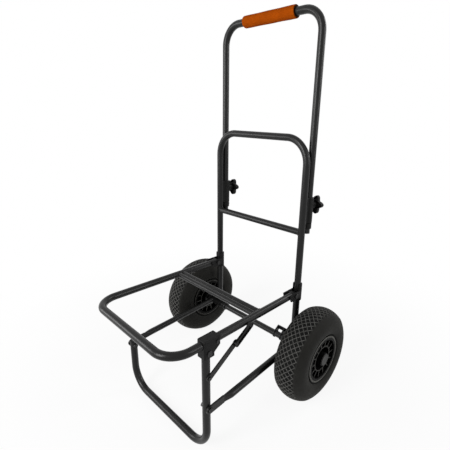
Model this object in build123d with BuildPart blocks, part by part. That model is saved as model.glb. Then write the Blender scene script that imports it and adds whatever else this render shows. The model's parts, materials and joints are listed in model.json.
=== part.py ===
from build123d import *
from math import cos, hypot, radians, sin
import os

os.makedirs("parts", exist_ok=True)

# Stance: wheels and foot bar on the ground, uprights leaning back
lean_angle = 5.0

# Tubes, bolts and the gaps between pieces
tube_d = 19.0
light_tube_d = 18.0
tube_wall = 1.5
weld_gap = 0.02
slip_gap = 0.3
running_gap = 0.06
bolt_d = 8.0
bolt_head_d = 13.0
bolt_head_height = 2.5
nut_height = 4.0
plug_depth = 18.0
plug_flange = 3.0
cut_margin = 2.0

# Back frame
frame_half = 163.0
upright_y = 20.0
upright_bottom = 12.0
arch_height = 570.0
arch_bend = 65.0
crossbar_height = 327.0

# Sliding handle
handle_gap = 3.0
handle_height = 861.0
handle_bottom = 325.0
handle_bend = 52.0
grip_d = 30.0
grip_length = 174.0
grip_round = 4.0
clip_wall = 3.0
clip_height = 15.0
clip_lift = 11.0
clip_saddle_width = 6.0
clip_rivet_d = 6.0
clip_rivet_height = 2.0

# Handle guides and clamp knobs
guide_low = 352.0
guide_height = 69.0
guide_wall = 3.5
guide_saddle_width = 16.0
guide_boss_d = 22.0
guide_boss_reach = 8.5
guide_round = 1.5
knob_height = 398.0
knob_d = 52.0
knob_core_d = 30.0
knob_lobe_d = 12.0
knob_lobes = 5
knob_depth = 14.0
knob_valley = 5.0
knob_round = 2.5
knob_collar_d = 28.0
knob_collar_height = 6.0
stud_hold = 12.0

# Rear pivots of the platform
pivot_height = 150.0
sleeve_wall = 3.5
sleeve_height = 48.0
sleeve_below = 20.0
cheek_wall = 3.2
cheek_height = 22.0
cheek_top_reach = 28.0
cheek_low_reach = 22.0
cheek_round = 3.0
rail_setback = 10.0
nose_trim = 0.3

# Platform
platform_reach = 398.0
platform_bend = 52.0
cross_tube_d = 15.0
cross_tubes_y = -142.0

# Leg with its foot bar, and the bracket it hangs from
leg_y = -308.0
leg_bend = 60.0
leg_pivot_drop = 19.5
leg_nose_d = 18.0
leg_plug_gap = 12.0
leg_stub_rise = 12.0
bracket_wall = 3.2
bracket_front = -321.0
bracket_rear = -278.0
bracket_waist = -294.5
bracket_waist_drop = 22.0
bracket_drop = 31.0
bracket_side_height = 22.0
bracket_lip = 3.5
bracket_lip_round = 3.0
bracket_screw_y = -285.0
bracket_screw_d = 9.0
bracket_screw_height = 2.5

# Lower bars that tie the leg to the axle
lower_bar_offset = 14.5
tang_thickness = 5.0
tang_height = 19.0
tang_length = 42.0
crimp_length = 20.0
crimp_round = 8.9
tang_round = 2.4
open_pivot_gap = 0.4

# Axle
rod_d = 14.0
axle_tube_beyond = 25.0
axle_bracket_inset = 55.0
axle_bracket_width = 27.0
axle_bracket_wall = 3.0
axle_bracket_round = 11.5
bridge_front = 12.0
bridge_low = 11.0
bridge_high = 22.0
spacer_d = 18.0
washer_d = 22.0
washer_height = 1.5
clip_ring_d = 20.0
clip_ring_height = 2.0

# Wheels
wheel_radius = 130.0
wheel_width = 90.0
wheel_beyond = 75.0
tread_shoulder = 31.5
tread_drop = 9.0
sidewall_radius = 95.0
flange_radius = 66.0
flange_width = 82.0
flange_wall = 4.0
bead_groove = 2.5
barrel_radius = 58.0
barrel_wall = 3.5
web_wall = 6.0
ring_radius = 36.0
ring_wall = 3.0
rib_count = 14
rib_wall = 3.0
rib_depth = 34.0
hub_d = 36.0
hub_beyond = 37.0
hub_length = 81.0
bearing_d = 30.0
bearing_width = 9.0
bearing_recess = 11.0
rod_end_gap = 1.0
cap_d = 32.0
cap_height = 3.0
cap_round = 1.0
cap_spigot = 3.0

# Two-link brace on the right side
brace_leg_drop = 84.0
brace_rail_y = -186.0
brace_rail_drop = 4.0
lower_link_length = 93.0
upper_link_length = 53.0
link_width = 14.0
link_wall = 3.0
upper_link_depth = 6.0
link_lip = 2.0
link_eye_d = 17.0
lug_wall = 3.3
lug_width = 12.0
rivet_d = 6.0
rivet_head_d = 9.0
rivet_head_height = 2.0

# Sizes worked out from the ones above
lean_sin = sin(radians(lean_angle))
lean_cos = cos(radians(lean_angle))
tube_r = tube_d / 2
light_r = light_tube_d / 2
bolt_r = bolt_d / 2
bore_r = tube_r - tube_wall
handle_y = upright_y + tube_d + handle_gap
front_reach = -platform_reach * lean_cos + pivot_height * lean_sin - tube_r
rear_reach = max(wheel_radius, handle_y * lean_cos + handle_height * lean_sin + grip_d / 2)
axle_y = -(front_reach + rear_reach) / 2
foot_height = (tube_r - wheel_radius + leg_y * lean_sin) / lean_cos
leg_pivot_height = pivot_height - leg_pivot_drop
tie_pivot_height = leg_pivot_height - pivot_height
tie_length = hypot(leg_y, tie_pivot_height)
cheek_outer = tube_r + slip_gap + cheek_wall
bracket_outer = tube_r + slip_gap + bracket_wall
bracket_waist_height = pivot_height - bracket_waist_drop
bracket_low = pivot_height - bracket_drop
axle_tube_half = frame_half + axle_tube_beyond
axle_bracket_inner = frame_half - axle_bracket_inset
axle_bracket_outer = axle_bracket_inner + axle_bracket_width
wheel_offset = frame_half + wheel_beyond
hub_inner = frame_half + hub_beyond
hub_outer = hub_inner + hub_length
bearing_outer = hub_outer - bearing_recess
rod_reach = hub_outer - cap_spigot - rod_end_gap
brace_leg_height = pivot_height - brace_leg_drop
brace_rail_height = pivot_height - brace_rail_drop
lower_link_x = frame_half + tube_r + slip_gap
upper_link_x = lower_link_x + link_wall + slip_gap

# The leaning truck frame: its origin on the axle, its z axis along the uprights
truck = Plane((0, axle_y, wheel_radius), x_dir=(1, 0, 0), z_dir=(0, lean_sin, lean_cos))
axle_axis = Axis((0, axle_y, wheel_radius), (1, 0, 0))
stud_axis = Axis((0, 0, 0), truck.y_dir)
upright_axis = Axis((0, 0, 0), truck.z_dir)
hands = ((-1, "left"), (1, "right"))


def local_point(x, y, z):
    """World point of a place given in the leaning frame."""
    return truck.from_local_coords(Vector(x, y, z))


def local_dir(y, z):
    """World direction of a side-view direction in the leaning frame."""
    return truck.y_dir * y + truck.z_dir * z


def side_plane(x):
    """Plane at x whose sketch axes are y and z; a positive extrusion goes to +x."""
    return Plane(local_point(x, 0, 0), x_dir=truck.y_dir, z_dir=truck.x_dir)


def level_plane(z):
    """Plane at height z whose sketch axes are x and y; a positive extrusion goes up."""
    return Plane(local_point(0, 0, z), x_dir=truck.x_dir, z_dir=truck.z_dir)


def face_plane(y):
    """Plane at y whose sketch axes are x and z; a positive extrusion goes forward."""
    return Plane(local_point(0, y, 0), x_dir=truck.x_dir, z_dir=truck.y_dir * -1)


def knob_plane(x, y):
    """Plane square to a clamp knob's stud, centred on it; a positive extrusion goes forward."""
    return Plane(local_point(x, y, knob_height), x_dir=truck.x_dir, z_dir=truck.y_dir * -1)


def link_plane(x, y, z, along):
    """Plane at a link's pivot with its first axis along the link and its normal along +x."""
    return Plane(local_point(x, y, z), x_dir=local_dir(*along), z_dir=truck.x_dir)


def tube_section(line, outer_d):
    """Ring section square to the start of a tube's centre line."""
    with BuildSketch(Plane(line @ 0, z_dir=line % 0), mode=Mode.PRIVATE) as section:
        Circle(outer_d / 2)
        Circle(outer_d / 2 - tube_wall, mode=Mode.SUBTRACT)
    return section.sketch


def disc_along_x(x, y, z, diameter):
    """Round section on a side plane, for shanks, heads and holes that lie along x."""
    with BuildSketch(side_plane(x), mode=Mode.PRIVATE) as disc:
        with Locations((y, z)):
            Circle(diameter / 2)
    return disc.sketch


def hexagon_along_x(x, y, z, corner_d):
    """Six-sided section on a side plane, for bolt heads and nuts."""
    with BuildSketch(side_plane(x), mode=Mode.PRIVATE) as hexagon:
        with Locations((y, z)):
            RegularPolygon(corner_d / 2, side_count=6)
    return hexagon.sketch


def knee_point():
    """Side-view place of the brace's knee, with both links in one line at rest."""
    rise = brace_rail_height - brace_leg_height
    run = brace_rail_y - leg_y
    share = lower_link_length / (lower_link_length + upper_link_length)
    return leg_y + run * share, brace_leg_height + rise * share


# Back frame: one tube bent into an arch, and the crossbar welded between its uprights
with BuildPart() as back_frame_tube:
    with BuildLine(face_plane(upright_y)) as arch_line:
        FilletPolyline(
            (-frame_half, upright_bottom),
            (-frame_half, arch_height),
            (frame_half, arch_height),
            (frame_half, upright_bottom),
            radius=arch_bend,
        )
    sweep(tube_section(arch_line.line, tube_d), path=arch_line.line)
back_frame_tube.part.label = "back_frame_tube"
export_step(back_frame_tube.part, "parts/back_frame_tube.step")

with BuildPart() as back_crossbar:
    with BuildSketch(side_plane(-frame_half)):
        with Locations((upright_y, crossbar_height)):
            Circle(light_r)
            Circle(light_r - tube_wall, mode=Mode.SUBTRACT)
    extrude(amount=2 * frame_half)
    with BuildSketch(level_plane(crossbar_height)):
        with Locations((-frame_half, upright_y), (frame_half, upright_y)):
            Circle(tube_r + weld_gap)
    extrude(amount=light_tube_d, both=True, mode=Mode.SUBTRACT)
back_crossbar.part.label = "back_crossbar"
export_step(back_crossbar.part, "parts/back_crossbar.step")

with BuildPart() as upright_plugs:
    with BuildSketch(level_plane(upright_bottom - plug_flange)):
        with Locations((-frame_half, upright_y), (frame_half, upright_y)):
            Circle(tube_r)
    extrude(amount=plug_flange - weld_gap)
    with BuildSketch(level_plane(upright_bottom - plug_flange)):
        with Locations((-frame_half, upright_y), (frame_half, upright_y)):
            Circle(bore_r - running_gap)
    extrude(amount=plug_depth)
upright_plugs.part.label = "upright_plugs"
export_step(upright_plugs.part, "parts/upright_plugs.step")

# Axle brackets: two pierced cheeks on a bridge plate welded to each upright's inner flank
for side, hand in hands:
    with BuildPart() as axle_bracket:
        for cheek_x in (axle_bracket_inner, axle_bracket_outer - axle_bracket_wall):
            with BuildSketch(side_plane(side * (cheek_x + axle_bracket_wall / 2))):
                Circle(axle_bracket_round)
                with Locations((bridge_front + axle_bracket_wall / 2, (bridge_low + bridge_high) / 2)):
                    Rectangle(axle_bracket_wall, bridge_high - bridge_low)
                make_hull()
            extrude(amount=axle_bracket_wall / 2, both=True)
        with BuildSketch(face_plane(bridge_front + axle_bracket_wall)):
            with Locations((side * (axle_bracket_inner + frame_half) / 2, (bridge_low + bridge_high) / 2)):
                Rectangle(frame_half - axle_bracket_inner, bridge_high - bridge_low)
        extrude(amount=axle_bracket_wall)
        with BuildSketch(level_plane(0)):
            with Locations((side * frame_half, upright_y)):
                Circle(tube_r + weld_gap)
        extrude(amount=bridge_high + cut_margin, mode=Mode.SUBTRACT)
        extrude(disc_along_x(0, 0, 0, light_tube_d + 2 * running_gap), amount=side * frame_half,
                mode=Mode.SUBTRACT)
    axle_bracket.part.label = f"axle_bracket_{hand}"
    export_step(axle_bracket.part, f"parts/axle_bracket_{hand}.step")

# Rear pivot brackets: a sleeve on the upright with two cheeks that hold the rail's end
for side, hand in hands:
    rail_x = side * frame_half
    with BuildPart() as rear_pivot_bracket:
        with BuildSketch(level_plane(pivot_height - sleeve_below)):
            with Locations((rail_x, upright_y)):
                Circle(tube_r + sleeve_wall)
        extrude(amount=sleeve_height)
        with BuildSketch(side_plane(rail_x)):
            with BuildLine():
                Polyline(
                    (upright_y, pivot_height + cheek_height / 2),
                    (-cheek_top_reach, pivot_height + cheek_height / 2),
                    (-cheek_low_reach, pivot_height - cheek_height / 2),
                    (upright_y, pivot_height - cheek_height / 2),
                    close=True,
                )
            cheek = make_face()
            fillet(cheek.vertices().group_by(Axis.Y)[0], cheek_round)
        extrude(amount=cheek_outer, both=True)
        with BuildSketch(face_plane(upright_y)):
            with Locations((rail_x, pivot_height + (sleeve_height - cheek_height) / 2)):
                Rectangle(tube_d + 2 * slip_gap, sleeve_height + cut_margin)
        extrude(amount=upright_y + cheek_top_reach + cut_margin, mode=Mode.SUBTRACT)
        with BuildSketch(level_plane(pivot_height - sleeve_height)):
            with Locations((rail_x, upright_y)):
                Circle(tube_r + weld_gap)
        extrude(amount=2 * sleeve_height, mode=Mode.SUBTRACT)
        extrude(disc_along_x(rail_x, 0, pivot_height, bolt_d + 2 * weld_gap), amount=2 * cheek_outer,
                both=True, mode=Mode.SUBTRACT)
    rear_pivot_bracket.part.label = f"rear_pivot_bracket_{hand}"
    export_step(rear_pivot_bracket.part, f"parts/rear_pivot_bracket_{hand}.step")

with BuildPart() as rear_pivot_bolts:
    for side, hand in hands:
        head_x = side * (frame_half + cheek_outer)
        shank = 2 * cheek_outer + nut_height
        extrude(disc_along_x(head_x, 0, pivot_height, bolt_d), amount=-side * shank)
        extrude(disc_along_x(head_x, 0, pivot_height, bolt_head_d), amount=side * bolt_head_height)
    chamfer(rear_pivot_bolts.edges().filter_by(GeomType.CIRCLE).group_by(SortBy.RADIUS)[-1],
            bolt_head_height / 3)
rear_pivot_bolts.part.label = "rear_pivot_bolts"
export_step(rear_pivot_bolts.part, "parts/rear_pivot_bolts.step")

with BuildPart() as rear_pivot_nuts:
    for side, hand in hands:
        nut_x = side * (frame_half - cheek_outer)
        extrude(hexagon_along_x(nut_x, 0, pivot_height, bolt_head_d), amount=-side * nut_height)
        extrude(disc_along_x(nut_x, 0, pivot_height, bolt_d + 2 * weld_gap), amount=-side * nut_height,
                mode=Mode.SUBTRACT)
rear_pivot_nuts.part.label = "rear_pivot_nuts"
export_step(rear_pivot_nuts.part, "parts/rear_pivot_nuts.step")

# Handle: one bent tube with a foam grip, end caps and guide clips that ride on the uprights
with BuildPart() as handle_tube:
    with BuildLine(face_plane(handle_y)) as handle_line:
        FilletPolyline(
            (-frame_half, handle_bottom),
            (-frame_half, handle_height),
            (frame_half, handle_height),
            (frame_half, handle_bottom),
            radius=handle_bend,
        )
    sweep(tube_section(handle_line.line, tube_d), path=handle_line.line)
handle_tube.part.label = "handle_tube"
export_step(handle_tube.part, "parts/handle_tube.step")

with BuildPart() as handle_grip:
    extrude(disc_along_x(0, handle_y, handle_height, grip_d), amount=grip_length / 2, both=True)
    fillet(handle_grip.edges().filter_by(GeomType.CIRCLE), grip_round)
    extrude(disc_along_x(0, handle_y, handle_height, tube_d + 2 * weld_gap), amount=grip_length, both=True,
            mode=Mode.SUBTRACT)
handle_grip.part.label = "handle_grip"
export_step(handle_grip.part, "parts/handle_grip.step")

with BuildPart() as handle_end_caps:
    with BuildSketch(level_plane(handle_bottom - plug_flange)):
        with Locations((-frame_half, handle_y), (frame_half, handle_y)):
            Circle(tube_r)
    extrude(amount=plug_flange - weld_gap)
    with BuildSketch(level_plane(handle_bottom - plug_flange)):
        with Locations((-frame_half, handle_y), (frame_half, handle_y)):
            Circle(bore_r - running_gap)
    extrude(amount=plug_depth)
handle_end_caps.part.label = "handle_end_caps"
export_step(handle_end_caps.part, "parts/handle_end_caps.step")

clip_low = handle_bottom + clip_lift
clip_middle = clip_low + clip_height / 2
with BuildPart() as handle_guide_clips:
    with BuildSketch(level_plane(clip_low)):
        for side, hand in hands:
            with Locations((side * frame_half, handle_y)):
                Circle(tube_r + clip_wall)
            with Locations((side * frame_half, (upright_y + tube_r - clip_wall + handle_y) / 2)):
                Rectangle(clip_saddle_width, handle_y - upright_y - tube_r + clip_wall)
            with Locations((side * frame_half, handle_y)):
                Circle(tube_r + weld_gap, mode=Mode.SUBTRACT)
            with Locations((side * frame_half, upright_y)):
                Circle(tube_r + slip_gap, mode=Mode.SUBTRACT)
    extrude(amount=clip_height)
    with BuildSketch(face_plane(handle_y)):
        with Locations((-frame_half, clip_middle), (frame_half, clip_middle)):
            Circle(clip_rivet_d / 2)
    extrude(amount=-handle_y, mode=Mode.SUBTRACT)
handle_guide_clips.part.label = "handle_guide_clips"
export_step(handle_guide_clips.part, "parts/handle_guide_clips.step")

with BuildPart() as clip_rivets:
    with BuildSketch(face_plane(handle_y + tube_r + weld_gap)):
        with Locations((-frame_half, clip_middle), (frame_half, clip_middle)):
            Circle(clip_rivet_d / 2 - weld_gap)
    extrude(amount=-clip_wall)
    with BuildSketch(face_plane(handle_y + tube_r + clip_wall + weld_gap)):
        with Locations((-frame_half, clip_middle), (frame_half, clip_middle)):
            Circle(clip_rivet_d / 2 + clip_rivet_height / 2)
    extrude(amount=-clip_rivet_height)
clip_rivets.part.label = "clip_rivets"
export_step(clip_rivets.part, "parts/clip_rivets.step")

# Handle guides: a sleeve for each leg of the handle, on a saddle behind the upright, with the knob's boss
boss_rear = handle_y + tube_r + guide_boss_reach
for side, hand in hands:
    guide_x = side * frame_half
    with BuildPart() as handle_guide:
        with BuildSketch(level_plane(guide_low)):
            with Locations((guide_x, handle_y)):
                Circle(tube_r + guide_wall)
            with Locations((guide_x, (upright_y + handle_y) / 2)):
                Rectangle(guide_saddle_width, handle_y - upright_y)
        extrude(amount=guide_height)
        fillet(handle_guide.faces().sort_by(Axis.Z)[-1].edges(), guide_round)
        fillet(handle_guide.faces().sort_by(Axis.Z)[0].edges(), guide_round)
        with BuildSketch(knob_plane(guide_x, boss_rear)):
            Circle(guide_boss_d / 2)
        extrude(amount=boss_rear - handle_y)
        for bore_y, gap in ((upright_y, weld_gap), (handle_y, slip_gap)):
            with BuildSketch(level_plane(guide_low - cut_margin)):
                with Locations((guide_x, bore_y)):
                    Circle(tube_r + gap)
            extrude(amount=guide_height + 2 * cut_margin, mode=Mode.SUBTRACT)
        with BuildSketch(knob_plane(guide_x, boss_rear)):
            Circle(bolt_r + running_gap)
        extrude(amount=boss_rear - handle_y, mode=Mode.SUBTRACT)
    handle_guide.part.label = f"handle_guide_{hand}"
    export_step(handle_guide.part, f"parts/handle_guide_{hand}.step")

# Clamp knobs: lobed heads on steel studs that bear on the handle's legs
collar_front = boss_rear + slip_gap
knob_front = collar_front + knob_collar_height
stud_tip = handle_y + tube_r + slip_gap
for side, hand in hands:
    knob_x = side * frame_half
    with BuildPart() as clamp_knob:
        with BuildSketch(knob_plane(knob_x, knob_front)) as star:
            Circle(knob_core_d / 2)
            with PolarLocations((knob_d - knob_lobe_d) / 2, knob_lobes):
                Circle(knob_lobe_d / 2)
            inner_corner = knob_core_d / 2 + slip_gap
            valleys = star.vertices().filter_by(lambda corner: corner.center().length < inner_corner)
            fillet(valleys, knob_valley)
        extrude(amount=-knob_depth)
        fillet(clamp_knob.faces().filter_by(stud_axis).edges(), knob_round)
        with BuildSketch(knob_plane(knob_x, collar_front)):
            Circle(knob_collar_d / 2)
        extrude(amount=-knob_collar_height - knob_round)
        with BuildSketch(knob_plane(knob_x, collar_front)):
            Circle(bolt_r + weld_gap)
        extrude(amount=-stud_hold, mode=Mode.SUBTRACT)
    clamp_knob.part.label = f"clamp_knob_{hand}"
    export_step(clamp_knob.part, f"parts/clamp_knob_{hand}.step")
    with BuildPart() as knob_stud:
        with BuildSketch(knob_plane(knob_x, stud_tip)):
            Circle(bolt_r)
        extrude(amount=stud_tip - collar_front - stud_hold + weld_gap)
    knob_stud.part.label = f"knob_stud_{hand}"
    export_step(knob_stud.part, f"parts/knob_stud_{hand}.step")

# Platform: one tube bent into a U, its two cross tubes and the moulded ends on the rear pivots
with BuildPart() as platform_tube:
    with BuildLine(level_plane(pivot_height)) as platform_line:
        FilletPolyline(
            (-frame_half, -rail_setback),
            (-frame_half, -platform_reach),
            (frame_half, -platform_reach),
            (frame_half, -rail_setback),
            radius=platform_bend,
        )
    sweep(tube_section(platform_line.line, tube_d), path=platform_line.line)
    extrude(disc_along_x(frame_half, brace_rail_y, brace_rail_height, rivet_d + 2 * weld_gap), amount=tube_d,
            mode=Mode.SUBTRACT)
platform_tube.part.label = "platform_tube"
export_step(platform_tube.part, "parts/platform_tube.step")

with BuildPart() as platform_cross_tubes:
    for step in (-1, 1):
        cross_y = cross_tubes_y + step * (cross_tube_d / 2 + weld_gap)
        with BuildSketch(side_plane(-frame_half)):
            with Locations((cross_y, pivot_height)):
                Circle(cross_tube_d / 2)
                Circle(cross_tube_d / 2 - tube_wall, mode=Mode.SUBTRACT)
        extrude(amount=2 * frame_half)
    with BuildSketch(face_plane(cross_tubes_y)):
        with Locations((-frame_half, pivot_height), (frame_half, pivot_height)):
            Circle(tube_r + weld_gap)
    extrude(amount=2 * cross_tube_d, both=True, mode=Mode.SUBTRACT)
platform_cross_tubes.part.label = "platform_cross_tubes"
export_step(platform_cross_tubes.part, "parts/platform_cross_tubes.step")

with BuildPart() as rail_end_plugs:
    for side, hand in hands:
        with BuildSketch(side_plane(side * frame_half)):
            with Locations((0, pivot_height)):
                Circle(tube_r - nose_trim)
            with Locations((-rail_setback / 2, pivot_height)):
                Rectangle(rail_setback - 2 * weld_gap, tube_d - 2 * nose_trim)
        extrude(amount=tube_r - nose_trim, both=True)
    with BuildSketch(face_plane(-rail_setback + tube_r)):
        with Locations((-frame_half, pivot_height), (frame_half, pivot_height)):
            Circle(bore_r - running_gap)
    extrude(amount=tube_r + plug_depth)
    extrude(disc_along_x(0, 0, pivot_height, bolt_d + 2 * running_gap), amount=2 * frame_half, both=True,
            mode=Mode.SUBTRACT)
rail_end_plugs.part.label = "rail_end_plugs"
export_step(rail_end_plugs.part, "parts/rail_end_plugs.step")

# Leg bracket: a moulding closed round the right rail, with two cheeks and a front web around the leg's top
bracket_top = pivot_height + tube_r + bracket_lip
with BuildPart() as leg_bracket:
    with BuildSketch(side_plane(frame_half)):
        with BuildLine():
            Polyline(
                (bracket_front, bracket_top),
                (bracket_rear, bracket_top),
                (bracket_rear, bracket_top - bracket_side_height),
                (bracket_waist, bracket_waist_height),
                (bracket_waist, bracket_low),
                (bracket_front, bracket_low),
                close=True,
            )
        make_face()
    extrude(amount=bracket_outer, both=True)
    fillet(leg_bracket.edges().filter_by(stud_axis).group_by(Axis.Z)[-1], bracket_lip_round)
    fillet(leg_bracket.edges().filter_by(upright_axis).group_by(Axis.Y)[0], bracket_lip_round)
    with BuildSketch(face_plane(bracket_front)):
        with Locations((frame_half, pivot_height)):
            Circle(tube_r + weld_gap)
    extrude(amount=bracket_front - bracket_rear, mode=Mode.SUBTRACT)
    with BuildSketch(level_plane(bracket_low)):
        with Locations((frame_half, (leg_y - tube_r - slip_gap + bracket_rear) / 2)):
            Rectangle(tube_d + 2 * slip_gap, bracket_rear - leg_y + tube_r + slip_gap)
    extrude(amount=pivot_height - bracket_low, mode=Mode.SUBTRACT)
    extrude(disc_along_x(frame_half, leg_y, leg_pivot_height, bolt_d + 2 * weld_gap),
            amount=2 * bracket_outer, both=True, mode=Mode.SUBTRACT)
leg_bracket.part.label = "leg_bracket"
export_step(leg_bracket.part, "parts/leg_bracket.step")

with BuildPart() as leg_bracket_screw:
    extrude(disc_along_x(frame_half + bracket_outer + weld_gap,
                         bracket_screw_y, pivot_height, bracket_screw_d),
            amount=bracket_screw_height)
    chamfer(leg_bracket_screw.edges().sort_by(Axis.X)[-1], bracket_screw_height / 3)
leg_bracket_screw.part.label = "leg_bracket_screw"
export_step(leg_bracket_screw.part, "parts/leg_bracket_screw.step")

with BuildPart() as leg_pivot_bolt:
    leg_head_x = frame_half + bracket_outer
    extrude(disc_along_x(leg_head_x, leg_y, leg_pivot_height, bolt_d),
            amount=-2 * bracket_outer - nut_height)
    extrude(disc_along_x(leg_head_x, leg_y, leg_pivot_height, bolt_head_d), amount=bolt_head_height)
    chamfer(leg_pivot_bolt.edges().filter_by(GeomType.CIRCLE).group_by(SortBy.RADIUS)[-1],
            bolt_head_height / 3)
leg_pivot_bolt.part.label = "leg_pivot_bolt"
export_step(leg_pivot_bolt.part, "parts/leg_pivot_bolt.step")

with BuildPart() as leg_pivot_nut:
    leg_nut_x = frame_half - bracket_outer
    extrude(hexagon_along_x(leg_nut_x, leg_y, leg_pivot_height, bolt_head_d), amount=-nut_height)
    extrude(disc_along_x(leg_nut_x, leg_y, leg_pivot_height, bolt_d + 2 * weld_gap), amount=-nut_height,
            mode=Mode.SUBTRACT)
leg_pivot_nut.part.label = "leg_pivot_nut"
export_step(leg_pivot_nut.part, "parts/leg_pivot_nut.step")

# Leg: one tube bent into a J, hinged under the right rail and resting on its foot bar
with BuildPart() as leg_tube:
    with BuildLine(face_plane(leg_y)) as leg_line:
        FilletPolyline(
            (frame_half, leg_pivot_height - leg_plug_gap),
            (frame_half, foot_height),
            (-frame_half, foot_height),
            (-frame_half, tie_pivot_height + leg_stub_rise),
            radius=leg_bend,
        )
    sweep(tube_section(leg_line.line, tube_d), path=leg_line.line)
    extrude(disc_along_x(0, leg_y, tie_pivot_height, bolt_d + 2 * weld_gap),
            amount=2 * frame_half, both=True, mode=Mode.SUBTRACT)
    extrude(disc_along_x(frame_half, leg_y, brace_leg_height, rivet_d + 2 * weld_gap), amount=tube_d,
            mode=Mode.SUBTRACT)
leg_tube.part.label = "leg_tube"
export_step(leg_tube.part, "parts/leg_tube.step")

with BuildPart() as leg_top_plug:
    with BuildSketch(side_plane(frame_half)):
        with Locations((leg_y, leg_pivot_height)):
            Circle(leg_nose_d / 2)
        with Locations((leg_y, leg_pivot_height - leg_plug_gap / 2)):
            Rectangle(leg_nose_d, leg_plug_gap - 2 * weld_gap)
    extrude(amount=tube_r - nose_trim, both=True)
    with BuildSketch(level_plane(leg_pivot_height)):
        with Locations((frame_half, leg_y)):
            Circle(bore_r - running_gap)
    extrude(amount=-leg_plug_gap - plug_depth)
    extrude(disc_along_x(frame_half, leg_y, leg_pivot_height, bolt_d + 2 * running_gap),
            amount=tube_d, both=True, mode=Mode.SUBTRACT)
leg_top_plug.part.label = "leg_top_plug"
export_step(leg_top_plug.part, "parts/leg_top_plug.step")

with BuildPart() as leg_stub_cap:
    with BuildSketch(level_plane(tie_pivot_height + leg_stub_rise + weld_gap)):
        with Locations((-frame_half, leg_y)):
            Circle(tube_r)
    extrude(amount=plug_flange)
    with BuildSketch(level_plane(tie_pivot_height + leg_stub_rise + plug_flange)):
        with Locations((-frame_half, leg_y)):
            Circle(bore_r - running_gap)
    extrude(amount=-leg_stub_rise + bolt_r)
leg_stub_cap.part.label = "leg_stub_cap"
export_step(leg_stub_cap.part, "parts/leg_stub_cap.step")

# Tie bolts: heads outside the lower bars, nuts on the leg's inner flanks
tang_far = tube_r + slip_gap + tang_thickness + slip_gap
with BuildPart() as tie_bolts:
    for side, hand in hands:
        head_x = side * (frame_half + tang_far)
        extrude(disc_along_x(head_x, leg_y, tie_pivot_height, bolt_d),
                amount=-side * (tube_r + tang_far + nut_height))
        extrude(disc_along_x(head_x, leg_y, tie_pivot_height, bolt_head_d), amount=side * bolt_head_height)
    chamfer(tie_bolts.edges().filter_by(GeomType.CIRCLE).group_by(SortBy.RADIUS)[-1], bolt_head_height / 3)
tie_bolts.part.label = "tie_bolts"
export_step(tie_bolts.part, "parts/tie_bolts.step")

with BuildPart() as tie_nuts:
    for side, hand in hands:
        nut_x = side * (frame_half - tube_r)
        extrude(hexagon_along_x(nut_x, leg_y, tie_pivot_height, bolt_head_d), amount=-side * nut_height)
        extrude(disc_along_x(nut_x, leg_y, tie_pivot_height, bolt_d + 2 * weld_gap),
                amount=-side * nut_height, mode=Mode.SUBTRACT)
tie_nuts.part.label = "tie_nuts"
export_step(tie_nuts.part, "parts/tie_nuts.step")

# Lower bars: tubes welded to the axle tube, crimped flat at the front where they meet the leg
bar_along = (leg_y / tie_length, tie_pivot_height / tie_length)
crimp_start = tie_length - tang_length - crimp_length
for side, hand in hands:
    bar_x = side * (frame_half + lower_bar_offset)
    tang_x = side * (frame_half + tube_r + slip_gap + tang_thickness / 2)
    with BuildPart() as lower_bar:
        with BuildSketch(Plane(local_point(bar_x, 0, 0), x_dir=truck.x_dir, z_dir=local_dir(*bar_along))):
            Circle(light_r)
            Circle(light_r - tube_wall, mode=Mode.SUBTRACT)
        extrude(amount=crimp_start)
        crimp_root = local_point(bar_x, crimp_start * bar_along[0], crimp_start * bar_along[1])
        crimp_end = crimp_start + crimp_length
        crimp_tip = local_point(tang_x, crimp_end * bar_along[0], crimp_end * bar_along[1])
        with BuildSketch(Plane(crimp_root, x_dir=truck.x_dir, z_dir=local_dir(*bar_along))):
            RectangleRounded(light_tube_d, light_tube_d, crimp_round)
        with BuildSketch(Plane(crimp_tip, x_dir=truck.x_dir, z_dir=local_dir(*bar_along))):
            RectangleRounded(tang_thickness, tang_height, tang_round)
        loft()
        with BuildSketch(link_plane(tang_x, 0, 0, bar_along)):
            with Locations(((crimp_end + tie_length) / 2, 0)):
                Rectangle(tang_length, tang_height)
            with Locations((tie_length, 0)):
                Circle(tang_height / 2)
                Circle(bolt_r + open_pivot_gap, mode=Mode.SUBTRACT)
        extrude(amount=tang_thickness / 2, both=True)
        extrude(disc_along_x(bar_x, 0, 0, light_tube_d + 2 * weld_gap), amount=tube_d, both=True,
                mode=Mode.SUBTRACT)
    lower_bar.part.label = f"lower_bar_{hand}"
    export_step(lower_bar.part, f"parts/lower_bar_{hand}.step")

# Axle: a tube that carries the lower bars and turns on the fixed rod, with spacers out to the wheels
with BuildPart() as axle_tube:
    extrude(disc_along_x(0, 0, 0, light_tube_d), amount=axle_tube_half, both=True)
    extrude(disc_along_x(0, 0, 0, rod_d + 2 * running_gap),
            amount=axle_tube_half, both=True, mode=Mode.SUBTRACT)
axle_tube.part.label = "axle_tube"
export_step(axle_tube.part, "parts/axle_tube.step")

with BuildPart() as axle_rod:
    extrude(disc_along_x(0, 0, 0, rod_d), amount=rod_reach, both=True)
axle_rod.part.label = "axle_rod"
export_step(axle_rod.part, "parts/axle_rod.step")

washer_x = hub_inner - slip_gap - washer_height
with BuildPart() as axle_spacers:
    spacer_length = washer_x - axle_tube_half - slip_gap - weld_gap
    for side, hand in hands:
        spacer_x = side * (axle_tube_half + slip_gap)
        extrude(disc_along_x(spacer_x, 0, 0, spacer_d), amount=side * spacer_length)
        extrude(disc_along_x(spacer_x, 0, 0, rod_d + 2 * weld_gap), amount=side * spacer_length,
                mode=Mode.SUBTRACT)
axle_spacers.part.label = "axle_spacers"
export_step(axle_spacers.part, "parts/axle_spacers.step")

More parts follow.
